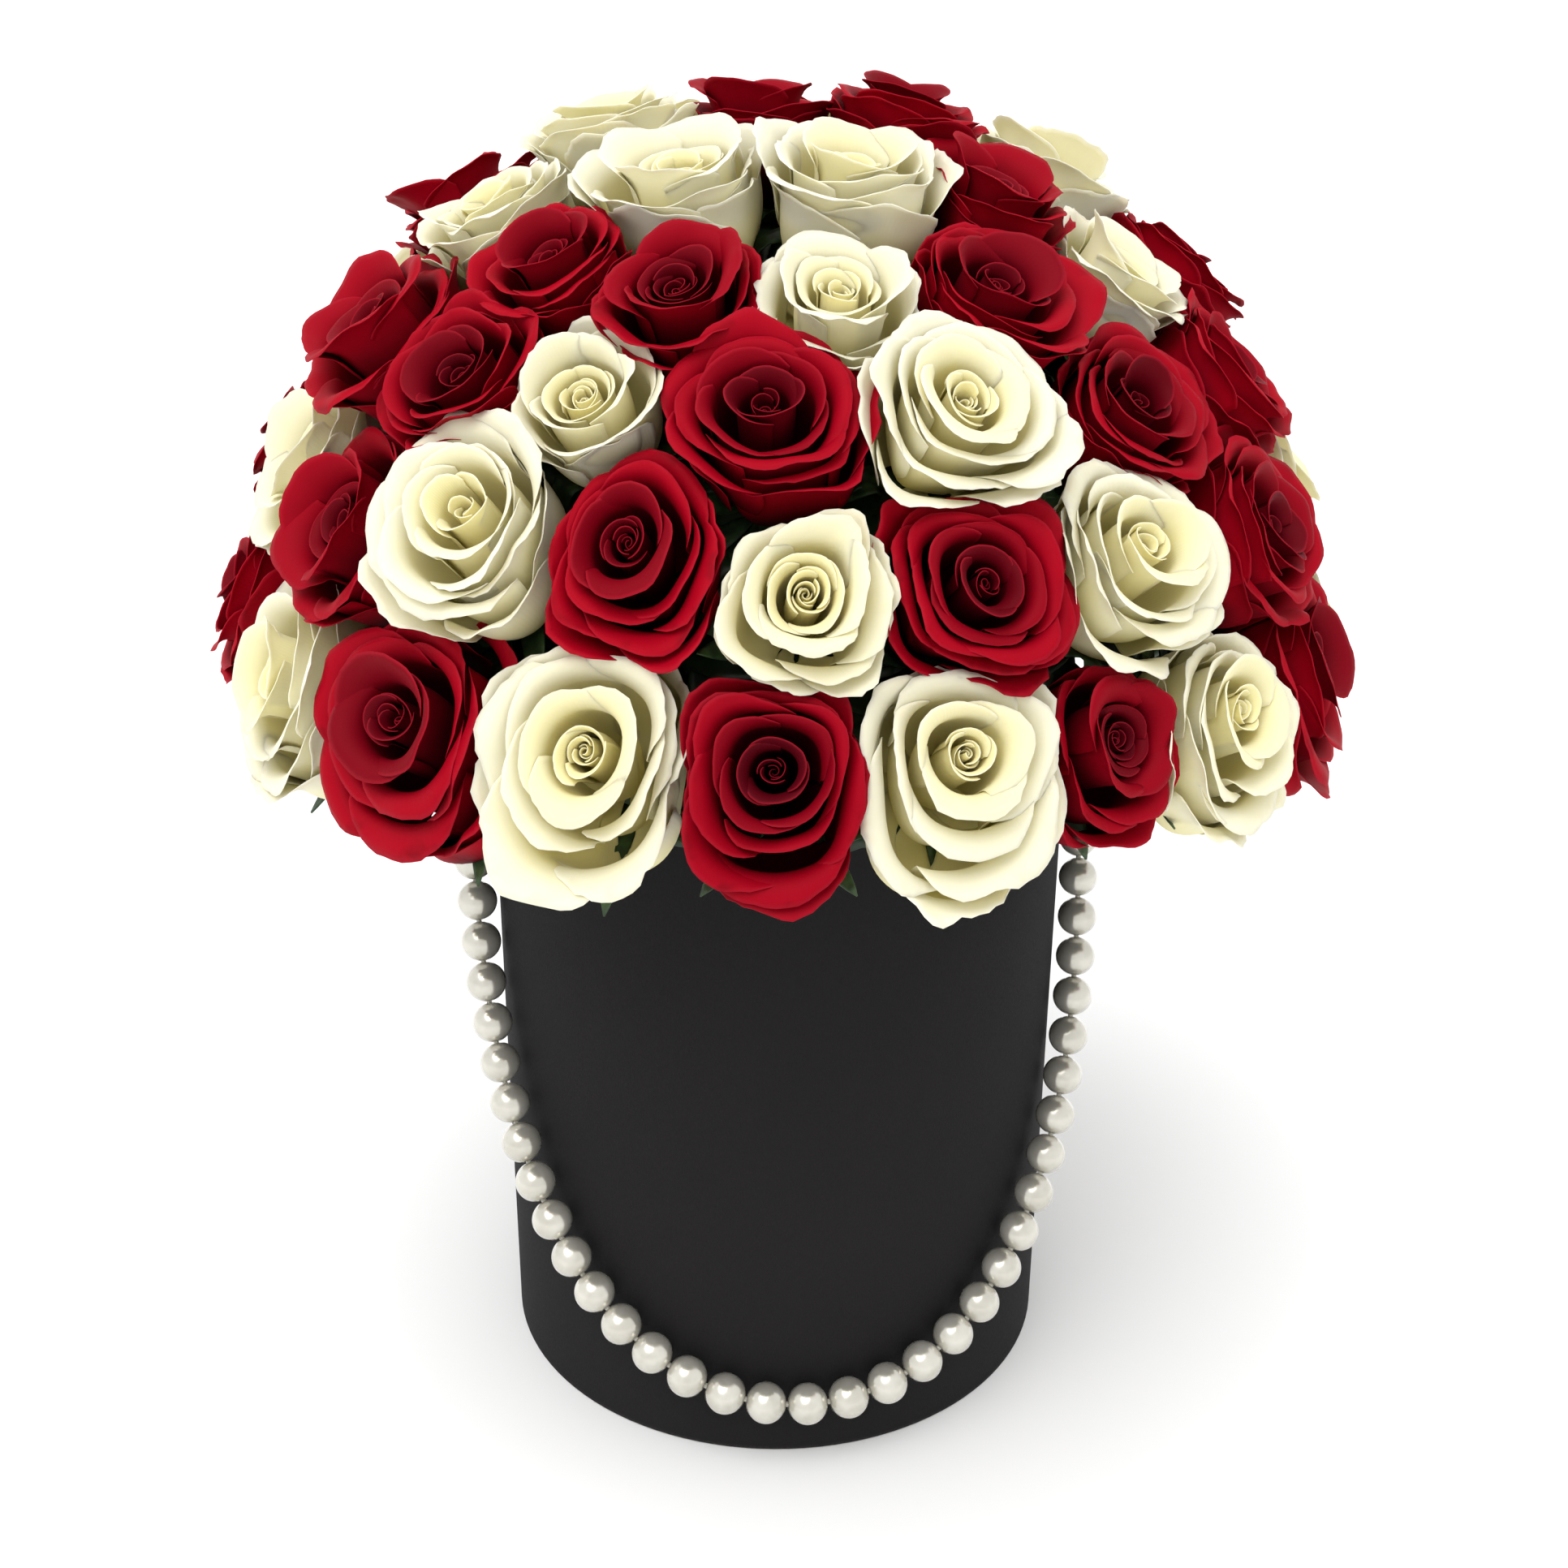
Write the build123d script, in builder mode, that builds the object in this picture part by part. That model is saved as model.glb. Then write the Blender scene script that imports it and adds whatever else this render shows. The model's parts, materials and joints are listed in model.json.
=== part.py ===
from build123d import *
import math
import os

# Round flower box: a covered cardboard tube with a dome of roses set in wet floral foam, and a
# strand of pearls that hangs across its front from two eyelets in the wall.
# Millimetres, +Z up, the front of the box faces -Y. The origin is the centre of the base's
# underside.

# --- driving dimensions ---------------------------------------------------------------------
BOX_DIAMETER = 200.0
BOX_HEIGHT = 235.0
COVER_PAPER = 0.4
CARDBOARD = 2.5
TURN_IN = 12.0

EYELET_HEIGHT = BOX_HEIGHT - 20.0
EYELET_BORE_RADIUS = 2.2
EYELET_BARREL_RADIUS = 3.0
EYELET_FLANGE_RADIUS = 5.0
EYELET_FLANGE = 1.0
EYELET_DOMING = 0.6
INNER_FLANGE_RADIUS = 4.5
INNER_FLANGE = 0.7
INNER_FLANGE_SEAT = 0.2

LINER_GAP = 4.6
LINER_WALL = 0.8
LINER_FLOOR = 1.0
LINER_HEIGHT = 198.0

FOAM_FIT = 0.2
FOAM_TOP = 274.0
FOAM_DOME_RADIUS = 100.0

# The heads' tops lie on a sphere about the dome's centre. The stems of each ring aim at a focus,
# which is lowest for the lowest ring and goes up with the rings to a limit.
DOME_CENTRE = Vector(0, 0, 258)
DOME_RADIUS = 187.0
LOWEST_FOCUS = 194.0
HIGHEST_FOCUS = 230.0
LOWEST_RING = 9.0
FOCUS_RISE_PER_DEGREE = 1.1
STEM_START = 30.0
STEM_RADIUS = 2.2
CALYX_LENGTH = 8.0
HEAD_SLENDERNESS = 0.98
# A head's outline: how far up the head, and what share of its full radius.
HEAD_FOOT_SHARE = 0.2
HEAD_OUTLINE = [
    (0.0, HEAD_FOOT_SHARE),
    (0.12, 0.50),
    (0.28, 0.76),
    (0.45, 0.92),
    (0.62, 1.0),
    (0.80, 0.97),
    (0.93, 0.86),
    (1.0, 0.62),
]

CORD_RADIUS = 0.9
PEARL_RADIUS = 7.0
PEARL_BORE_RADIUS = 1.2
PEARL_PITCH = 14.3
FIRST_PEARL = 21.0
KNOT_RADIUS = 3.2
KNOT_THICKNESS = 2.4
KNOT_ROUNDING = 0.95
KNOT_GAP = 0.3
# How much of the shorter neighbouring run a bend of the cord's route may take up.
BEND_SHARE = 0.45

# --- planting plan --------------------------------------------------------------------------
# Each rose: azimuth from the front, towards +X, and elevation on the dome, in degrees, colour,
# head diameter, and how far the head stands proud of the dome.
RED = "red"
WHITE = "white"
FRONT_ROSES = {
    "a": [
        (-103, 11, WHITE, 44, 0),
        (-84, 11, RED, 44, 0),
        (-65, 8, WHITE, 46, 0),
        (-43.5, 8.5, RED, 50, 0),
        (-23, 10, WHITE, 50, 0),
        (-6, 9.5, RED, 42, 2),
        (10, 9.5, WHITE, 46, 0),
        (26, 9, RED, 42, -2),
        (43, 7.5, WHITE, 44, 1),
        (62, 7.5, RED, 48, 3),
        (83, 10, WHITE, 44, 0),
    ],
    "b": [
        (-76, 28, WHITE, 44, 0),
        (-58, 25, RED, 44, -2),
        (-38, 27.5, WHITE, 46, 2),
        (-20.5, 28, RED, 43, 0),
        (-4, 24.5, WHITE, 42, 3),
        (13.5, 24.5, RED, 44, -1),
        (32.5, 25, WHITE, 44, 1),
        (54, 23, RED, 45, 0),
        (74.5, 24, WHITE, 43, -1),
    ],
    "c": [
        (-68, 43, RED, 46, 7),
        (-47.5, 41, RED, 41, -2),
        (-29.5, 40.5, WHITE, 38, -2),
        (-7.5, 39, RED, 44, 2),
        (14, 39.5, WHITE, 44, 8),
        (41, 38, RED, 43, -2),
        (67, 37.5, RED, 43, 0),
        (87, 46, RED, 44, 5),
    ],
    "d": [
        (-100, 56, RED, 44, 8),
        (-72, 58.5, WHITE, 44, 2),
        (-45, 55, RED, 41, 0),
        (-21, 52.5, RED, 40, 0),
        (2.5, 52.5, WHITE, 42, 0),
        (26, 52, RED, 42, 0),
        (62, 51.5, WHITE, 41, 0),
        (50, 65, RED, 41, 0),
        (92, 62, WHITE, 44, 8),
    ],
    "e": [
        (-88, 72.5, WHITE, 43, 6),
        (-33, 69.5, WHITE, 43, 1),
        (14, 70, WHITE, 43, 1),
    ],
    "f": [
        (82, 78, RED, 41, 6),
        (-120, 87, RED, 41, 3),
    ],
}
# The back's rings are even: first azimuth, step, count, elevation, first colour, diameter.
BACK_RINGS = {
    "lower": [
        (100.5, 17.4, 9, 10, RED, 46),
        (90.5, 17.6, 11, 27, RED, 44),
    ],
    "upper": [
        (109.5, 22.4, 8, 42, WHITE, 45),
        (121, 28, 5, 58.5, RED, 43),
        (134.5, 45, 3, 74, WHITE, 35),
    ],
}

# --- worked-out sizes -----------------------------------------------------------------------
cover_outer = BOX_DIAMETER / 2
wall_outer = cover_outer - COVER_PAPER
wall_inner = wall_outer - CARDBOARD
wall_top = BOX_HEIGHT - COVER_PAPER
liner_outer = wall_inner - LINER_GAP
liner_inner = liner_outer - LINER_WALL
foam_radius = liner_inner - FOAM_FIT
foam_dome_centre = FOAM_TOP - FOAM_DOME_RADIUS
foam_shoulder = foam_dome_centre + math.sqrt(FOAM_DOME_RADIUS**2 - foam_radius**2)
foam_bottom = CARDBOARD + LINER_FLOOR
inner_flange_face = wall_inner - INNER_FLANGE_SEAT
knot_face = inner_flange_face - INNER_FLANGE - 2 * KNOT_GAP
through_wall = 3 * CARDBOARD
SIDES = {"left": -1, "right": 1}


def ring_profile(inner, outer, bottom, top):
    """A rectangle in the XZ plane, ready to be revolved about Z into a tube or a disc."""
    with BuildSketch(Plane.XZ) as profile:
        with Locations(((inner + outer) / 2, (bottom + top) / 2)):
            Rectangle(outer - inner, top - bottom)
    return profile.sketch


def tube(*rings):
    """Revolves each (inner, outer, bottom, top) into what is being built."""
    for ring in rings:
        revolve(ring_profile(*ring), axis=Axis.Z)


def finish_part(part, name):
    """Labels a finished piece and writes it."""
    part.label = name
    export_step(part, f"parts/{name}.step")
    print(name, round(part.volume), "mm3,", len(part.solids()), "solids")


def on_wall(side, distance):
    """The plane at an eyelet, facing outwards, this far from the box's axis."""
    return Plane(
        origin=(side * distance, 0, EYELET_HEIGHT), x_dir=(0, 1, 0), z_dir=(side, 0, 0)
    )


def eyelet_holes():
    """Cuts both eyelets' holes through what is being built."""
    for side in SIDES.values():
        with BuildSketch(on_wall(side, wall_inner - CARDBOARD)) as hole:
            Circle(EYELET_BARREL_RADIUS)
        extrude(hole.sketch, amount=through_wall, mode=Mode.SUBTRACT)


os.makedirs("parts", exist_ok=True)

# --- box ------------------------------------------------------------------------------------
with BuildPart() as box_wall:
    tube((wall_inner, wall_outer, 0, wall_top))
    eyelet_holes()
finish_part(box_wall.part, "box_wall")

with BuildPart() as box_base:
    with BuildSketch():
        Circle(wall_inner)
    extrude(amount=CARDBOARD)
finish_part(box_base.part, "box_base")

# The paper covers the wall, turns over its rim and ends a little way down inside.
with BuildPart() as cover_paper:
    tube(
        (wall_outer, cover_outer, 0, BOX_HEIGHT),
        (wall_inner - COVER_PAPER, wall_outer, wall_top, BOX_HEIGHT),
        (wall_inner - COVER_PAPER, wall_inner, BOX_HEIGHT - TURN_IN, BOX_HEIGHT),
    )
    eyelet_holes()
finish_part(cover_paper.part, "cover_paper")

# Each eyelet is a barrel through the wall, with a domed flange outside and a flat one inside.
for side_name, side in SIDES.items():
    with BuildPart() as eyelet:
        with BuildSketch(on_wall(side, inner_flange_face)):
            Circle(EYELET_BARREL_RADIUS)
        extrude(amount=cover_outer - inner_flange_face)
        with BuildSketch(on_wall(side, cover_outer)):
            Circle(EYELET_FLANGE_RADIUS)
        extrude(amount=EYELET_FLANGE)
        rim = eyelet.edges().filter_by(GeomType.CIRCLE).group_by(Axis.X)[0 if side < 0 else -1]
        fillet(rim, EYELET_DOMING)
        with BuildSketch(on_wall(side, inner_flange_face)):
            Circle(INNER_FLANGE_RADIUS)
        extrude(amount=-INNER_FLANGE)
        with BuildSketch(on_wall(side, knot_face)):
            Circle(EYELET_BORE_RADIUS)
        extrude(amount=through_wall, mode=Mode.SUBTRACT)
    finish_part(eyelet.part, f"eyelet_{side_name}")

# --- liner and foam -------------------------------------------------------------------------
with BuildPart() as liner:
    tube(
        (0, liner_outer, CARDBOARD, foam_bottom),
        (liner_inner, liner_outer, CARDBOARD, CARDBOARD + LINER_HEIGHT),
    )
finish_part(liner.part, "liner")

with BuildPart() as foam:
    with BuildSketch(Plane.XZ):
        with BuildLine():
            Polyline(
                (0, FOAM_TOP),
                (0, foam_bottom),
                (foam_radius, foam_bottom),
                (foam_radius, foam_shoulder),
            )
            RadiusArc((foam_radius, foam_shoulder), (0, FOAM_TOP), -FOAM_DOME_RADIUS)
        make_face()
    revolve(axis=Axis.Z)
finish_part(foam.part, "foam")


# --- roses ----------------------------------------------------------------------------------
def stem_focus(elevation):
    """The point on the box's axis that the stems at this elevation aim at."""
    rise = FOCUS_RISE_PER_DEGREE * (elevation - LOWEST_RING)
    return Vector(0, 0, min(max(LOWEST_FOCUS + rise, LOWEST_FOCUS), HIGHEST_FOCUS))


def rose_plane(azimuth, elevation, diameter, reach):
    """The plane at a head's foot, looking out along its stem, and its stem's inner end."""
    turn = math.radians(azimuth)
    rise = math.radians(elevation)
    outward = Vector(
        math.cos(rise) * math.sin(turn), -math.cos(rise) * math.cos(turn), math.sin(rise)
    )
    crown = DOME_CENTRE + outward * (DOME_RADIUS + reach)
    focus = stem_focus(elevation)
    stem_line = (crown - focus).normalized()
    foot = Plane(origin=crown - stem_line * diameter * HEAD_SLENDERNESS, z_dir=stem_line)
    return foot, focus + stem_line * STEM_START


def rose_head(foot, diameter):
    """A closed rose head, one smooth solid of revolution on its foot's plane."""
    height = diameter * HEAD_SLENDERNESS
    radius = diameter / 2

    def spot(share):
        return (share[1] * radius, share[0] * height)

    side_plane = Plane(origin=foot.origin, x_dir=foot.x_dir, z_dir=-foot.y_dir)
    with BuildSketch(side_plane) as half:
        with BuildLine():
            Polyline(*[spot(share) for share in HEAD_OUTLINE])
            Polyline(spot(HEAD_OUTLINE[-1]), (0, height), (0, 0), spot(HEAD_OUTLINE[0]))
        make_face()
    revolve(half.sketch, axis=Axis(foot.origin, foot.z_dir))


front_feet = []
for ring, roses in FRONT_ROSES.items():
    for number, (azimuth, elevation, colour, diameter, reach) in enumerate(roses, start=1):
        foot, stem_end = rose_plane(azimuth, elevation, diameter, reach)
        front_feet.append((foot, stem_end, diameter))
        with BuildPart() as rose:
            rose_head(foot, diameter)
        finish_part(rose.part, f"{colour}_rose_{ring}{number:02d}")

back_feet = []
for zone, rings in BACK_RINGS.items():
    zone_feet = {RED: [], WHITE: []}
    for first, step, count, elevation, first_colour, diameter in rings:
        other_colour = WHITE if first_colour == RED else RED
        for place in range(count):
            foot, stem_end = rose_plane(first + step * place, elevation, diameter, 0)
            colour = first_colour if place % 2 == 0 else other_colour
            zone_feet[colour].append((foot, stem_end, diameter))
    for colour, feet in zone_feet.items():
        back_feet += feet
        with BuildPart() as back_roses:
            for foot, stem_end, diameter in feet:
                rose_head(foot, diameter)
        finish_part(back_roses.part, f"{colour}_roses_back_{zone}")

all_feet = front_feet + back_feet

# A stem runs from inside the foam to its calyx, and the calyx carries the head.
with BuildPart() as stems:
    for foot, stem_end, diameter in all_feet:
        with BuildSketch(Plane(origin=stem_end, z_dir=foot.z_dir)):
            Circle(STEM_RADIUS)
        extrude(amount=(foot.origin - stem_end).length - CALYX_LENGTH)
finish_part(stems.part, "rose_stems")

with BuildPart() as calyxes:
    for foot, stem_end, diameter in all_feet:
        with Locations(Plane(origin=foot.origin - foot.z_dir * CALYX_LENGTH, z_dir=foot.z_dir)):
            Cone(
                STEM_RADIUS,
                HEAD_FOOT_SHARE * diameter / 2,
                CALYX_LENGTH,
                align=(Align.CENTER, Align.CENTER, Align.MIN),
            )
finish_part(calyxes.part, "rose_calyxes")

# --- pearl strand ---------------------------------------------------------------------------
# The route starts at the left knot, leaves through the eyelet and hangs as a catenary round the
# front of the wall. Each point of the hanging part: degrees from the front, distance from the
# box's axis, height.
HANGING_POINTS = [
    (88, 108.4, 205),
    (84, 108.5, 186),
    (76, 108.8, 151),
    (66, 109.0, 116),
    (54, 109.0, 83),
    (40, 109.2, 55),
    (25, 109.2, 36),
    (9, 109.2, 26),
]
EXIT_BEND = (105.5, 0, EYELET_HEIGHT)


def half_route(side):
    """One half of the route, from the knot to the lowest point."""
    points = [Vector(side * knot_face, 0, EYELET_HEIGHT)]
    points.append(Vector(side * EXIT_BEND[0], EXIT_BEND[1], EXIT_BEND[2]))
    for degrees, distance, height in HANGING_POINTS:
        turn = math.radians(degrees)
        points.append(
            Vector(side * distance * math.sin(turn), -distance * math.cos(turn), height)
        )
    return points


route = half_route(SIDES["left"]) + half_route(SIDES["right"])[::-1]
runs = [end - start for start, end in zip(route, route[1:])]
radii = []
for before, after in zip(runs, runs[1:]):
    half_turn = math.radians(before.get_angle(after)) / 2
    radii.append(BEND_SHARE * min(before.length, after.length) / math.tan(half_turn))

with BuildPart() as pearl_cord:
    with BuildLine() as cord_line:
        FilletPolyline(*route, radius=radii)
    with BuildSketch(Plane(origin=route[0], z_dir=runs[0])):
        Circle(CORD_RADIUS)
    sweep()
cord_length = cord_line.wire().length
print("cord length", round(cord_length, 1), "mm, tightest bend", round(min(radii), 1), "mm")
finish_part(pearl_cord.part, "pearl_cord")

# Pearls sit evenly along the cord, each bored for it.
pearl_gaps = round((cord_length - 2 * FIRST_PEARL) / PEARL_PITCH)
pitch = (cord_length - 2 * FIRST_PEARL) / pearl_gaps
print("pearls", pearl_gaps + 1, "at", round(pitch, 2), "mm")
pearl_planes = []
for place in range(pearl_gaps + 1):
    share = (FIRST_PEARL + place * pitch) / cord_length
    pearl_planes.append(
        Plane(origin=cord_line.wire().position_at(share), z_dir=cord_line.wire().tangent_at(share))
    )

# Half a pearl's section, from its bore to its outer curve, is revolved about the cord.
bore_end = math.sqrt(PEARL_RADIUS**2 - PEARL_BORE_RADIUS**2)
with BuildPart() as pearl_beads:
    for pearl in pearl_planes:
        side_plane = Plane(origin=pearl.origin, x_dir=pearl.x_dir, z_dir=-pearl.y_dir)
        with BuildSketch(side_plane) as half:
            with BuildLine():
                ThreePointArc(
                    (PEARL_BORE_RADIUS, -bore_end), (PEARL_RADIUS, 0), (PEARL_BORE_RADIUS, bore_end)
                )
                Line((PEARL_BORE_RADIUS, bore_end), (PEARL_BORE_RADIUS, -bore_end))
            make_face()
        revolve(half.sketch, axis=Axis(pearl.origin, pearl.z_dir))
finish_part(pearl_beads.part, "pearl_beads")

# Flat stopper knots inside the wall, turning with the strand about the eyelets' axis.
for side_name, side in SIDES.items():
    with BuildPart() as knot:
        with BuildSketch(on_wall(side, knot_face - KNOT_THICKNESS)):
            Circle(KNOT_RADIUS)
        extrude(amount=KNOT_THICKNESS)
        fillet(knot.edges().filter_by(GeomType.CIRCLE), KNOT_ROUNDING)
    finish_part(knot.part, f"cord_knot_{side_name}")
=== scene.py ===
import json
import math

import bmesh
import bpy
import numpy as np
from mathutils import Matrix, Vector

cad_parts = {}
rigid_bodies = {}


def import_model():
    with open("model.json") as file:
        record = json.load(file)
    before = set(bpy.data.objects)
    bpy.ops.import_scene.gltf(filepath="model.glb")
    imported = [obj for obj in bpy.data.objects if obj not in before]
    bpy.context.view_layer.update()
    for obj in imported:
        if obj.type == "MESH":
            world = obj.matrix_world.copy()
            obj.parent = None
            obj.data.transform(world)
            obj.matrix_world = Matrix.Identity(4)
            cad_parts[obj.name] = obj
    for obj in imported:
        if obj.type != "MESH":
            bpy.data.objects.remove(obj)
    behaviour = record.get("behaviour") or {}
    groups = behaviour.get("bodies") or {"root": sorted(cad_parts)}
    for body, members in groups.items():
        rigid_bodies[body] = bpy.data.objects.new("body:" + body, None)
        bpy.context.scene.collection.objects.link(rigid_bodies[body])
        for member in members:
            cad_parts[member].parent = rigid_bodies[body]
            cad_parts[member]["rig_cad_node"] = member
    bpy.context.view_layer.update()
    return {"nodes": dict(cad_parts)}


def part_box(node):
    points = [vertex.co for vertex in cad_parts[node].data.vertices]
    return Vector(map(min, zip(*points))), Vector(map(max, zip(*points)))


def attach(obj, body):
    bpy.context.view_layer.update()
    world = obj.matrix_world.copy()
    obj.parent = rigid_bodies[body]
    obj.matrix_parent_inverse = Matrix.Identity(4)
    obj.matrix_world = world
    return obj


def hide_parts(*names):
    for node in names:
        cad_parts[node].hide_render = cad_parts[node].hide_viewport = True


# A round flower box with a dome of red and white roses and a pearl strand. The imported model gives
# every place and size; this script gives the looks. Metres, +Z up, the front faces -Y.
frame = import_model()

# --- sizes and counts -----------------------------------------------------------------------
PETAL_ROWS = 17
PETAL_COLUMNS = 23
PETAL_THICKNESS = 0.0005
SEPALS = 5
PEARL_RADIUS = 0.007
PEARL_BORE = 0.0012
PEARL_COUNT = 37
FIRST_PEARL = 0.021
CORD_DIAMETER = 0.0018


# --- mesh helpers ---------------------------------------------------------------------------
def mesh_object(name, points, quads):
    """A smooth mesh object at the origin, from arrays of points and of four-cornered faces."""
    mesh = bpy.data.meshes.new(name)
    mesh.vertices.add(len(points))
    mesh.vertices.foreach_set("co", np.asarray(points, np.float32).ravel())
    mesh.loops.add(4 * len(quads))
    mesh.loops.foreach_set("vertex_index", np.asarray(quads, np.int32).ravel())
    mesh.polygons.add(len(quads))
    mesh.polygons.foreach_set("loop_start", np.arange(0, 4 * len(quads), 4, dtype=np.int32))
    mesh.polygons.foreach_set("use_smooth", np.full(len(quads), True))
    mesh.update(calc_edges=True)
    obj = bpy.data.objects.new(name, mesh)
    bpy.context.scene.collection.objects.link(obj)
    return obj


def paint(obj, **values):
    """Stores named numbers, one for each vertex, for the materials to read."""
    for name, numbers in values.items():
        layer = obj.data.attributes.new(name, "FLOAT", "POINT")
        layer.data.foreach_set("value", np.asarray(numbers, np.float32).ravel())


def shell_quads(rows, columns):
    """The faces of a closed thin shell whose two skins are grids, front skin first."""
    grid = np.arange(rows * columns).reshape(rows, columns)
    front = np.stack([grid[:-1, :-1], grid[:-1, 1:], grid[1:, 1:], grid[1:, :-1]], -1).reshape(-1, 4)
    back = front[:, ::-1] + rows * columns
    rim = np.concatenate([grid[0], grid[1:, -1], grid[-1, -2::-1], grid[-2:0:-1, 0]])
    ahead = np.roll(rim, -1)
    edge = np.stack([ahead, rim, rim + rows * columns, ahead + rows * columns], -1)
    return np.concatenate([front, back, edge])


def thin_shell(surface, thickness):
    """Both skins of sheets given as (sheet, row, column, xyz), offset along their normals."""
    along = np.gradient(surface, axis=1)
    across = np.gradient(surface, axis=2)
    normal = np.cross(across, along)
    normal /= np.maximum(np.linalg.norm(normal, axis=-1, keepdims=True), 1e-12)
    half = normal * thickness[..., None] / 2
    sheets, rows, columns = surface.shape[:3]
    points = np.stack([surface + half, surface - half], axis=1).reshape(-1, 3)
    quads = shell_quads(rows, columns)
    step = 2 * rows * columns
    every = np.concatenate([quads + step * sheet for sheet in range(sheets)])
    return points, every


def both_skins(values, surface):
    """A value given for each point of the sheets, repeated for their two skins."""
    full = np.broadcast_to(values, surface.shape[:3])
    return np.stack([full, full], axis=1).ravel()


def smoothstep(low, high, x):
    t = np.clip((x - low) / (high - low), 0, 1)
    return t * t * (3 - 2 * t)


def lathe(profile, segments):
    """Points and faces of a closed ring-shaped profile, (radius, height) pairs, turned about +Z."""
    profile = np.asarray(profile, float)
    turn = np.linspace(0, 2 * math.pi, segments, endpoint=False)
    ring = np.stack([np.cos(turn), np.sin(turn)], -1)
    points = np.concatenate(
        [np.concatenate([ring * r, np.full((segments, 1), z)], axis=1) for r, z in profile]
    )
    index = np.arange(len(profile) * segments).reshape(len(profile), segments)
    below, above = index, np.roll(index, -1, axis=0)
    quads = np.stack(
        [below, np.roll(below, -1, axis=1), np.roll(above, -1, axis=1), above], -1
    ).reshape(-1, 4)
    return points, quads


def placed(points, matrix):
    """An array of points moved by a 4x4 matrix."""
    m = np.array(matrix, float)
    return points @ m[:3, :3].T + m[:3, 3]


def joined(parts):
    """Several (points, quads) as one."""
    points, quads, count = [], [], 0
    for part_points, part_quads in parts:
        points.append(part_points)
        quads.append(part_quads + count)
        count += len(part_points)
    return np.concatenate(points), np.concatenate(quads)


# --- material helpers -----------------------------------------------------------------------
class Shader:
    """A Principled material and short ways to add nodes to it."""

    def __init__(self, name, **values):
        self.material = bpy.data.materials.new(name)
        self.material.use_nodes = True
        self.tree = self.material.node_tree
        self.surface = self.tree.nodes["Principled BSDF"]
        for socket, value in values.items():
            self.surface.inputs[socket.replace("_", " ").capitalize()].default_value = value

    def set(self, socket, value):
        self.surface.inputs[socket].default_value = value

    def node(self, kind, **settings):
        made = self.tree.nodes.new(kind)
        for key, value in settings.items():
            setattr(made, key, value)
        return made

    def link(self, output, target):
        self.tree.links.new(output, target)

    def value(self, name):
        """The number that paint() stored under this name."""
        return self.node("ShaderNodeAttribute", attribute_name=name).outputs["Fac"]

    def place(self):
        """The point's own place in the object's frame."""
        return self.node("ShaderNodeTexCoord").outputs["Object"]

    def noise(self, scale, detail=2.0, roughness=0.5, stretch=None):
        texture = self.node("ShaderNodeTexNoise")
        texture.inputs["Scale"].default_value = scale
        texture.inputs["Detail"].default_value = detail
        texture.inputs["Roughness"].default_value = roughness
        where = self.place()
        if stretch is not None:
            mapping = self.node("ShaderNodeMapping")
            mapping.inputs["Scale"].default_value = stretch
            self.link(where, mapping.inputs["Vector"])
            where = mapping.outputs["Vector"]
        self.link(where, texture.inputs["Vector"])
        return texture.outputs["Fac"]

    def math(self, operation, a, b):
        made = self.node("ShaderNodeMath", operation=operation)
        for socket, x in zip(made.inputs, (a, b)):
            if isinstance(x, (int, float)):
                socket.default_value = x
            else:
                self.link(x, socket)
        return made.outputs[0]

    def span(self, x, low, high, to_low=0.0, to_high=1.0):
        """x between low and high, spread smoothly from to_low to to_high."""
        made = self.node("ShaderNodeMapRange", interpolation_type="SMOOTHSTEP")
        for name, number in (
            ("From Min", low),
            ("From Max", high),
            ("To Min", to_low),
            ("To Max", to_high),
        ):
            made.inputs[name].default_value = number
        self.link(x, made.inputs["Value"])
        return made.outputs["Result"]

    def mix(self, share, a, b):
        """Colour a turning into colour b as share goes from 0 to 1."""
        made = self.node("ShaderNodeMix", data_type="RGBA")
        for socket, x in ((made.inputs[0], share), (made.inputs[6], a), (made.inputs[7], b)):
            if isinstance(x, (int, float)):
                socket.default_value = x
            elif isinstance(x, tuple):
                socket.default_value = (*x, 1)
            else:
                self.link(x, socket)
        return made.outputs[2]

    def colour(self, output):
        self.link(output, self.surface.inputs["Base Color"])

    def rough(self, output):
        self.link(output, self.surface.inputs["Roughness"])

    def bump(self, height, distance, strength=1.0):
        made = self.node("ShaderNodeBump")
        made.inputs["Distance"].default_value = distance
        made.inputs["Strength"].default_value = strength
        self.link(height, made.inputs["Height"])
        self.link(made.outputs["Normal"], self.surface.inputs["Normal"])


def dress(obj, shader):
    """Gives a piece or a CAD node its material."""
    obj.data.materials.clear()
    obj.data.materials.append(shader.material)
    for polygon in obj.data.polygons if obj.type == "MESH" else []:
        polygon.material_index = 0


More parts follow.
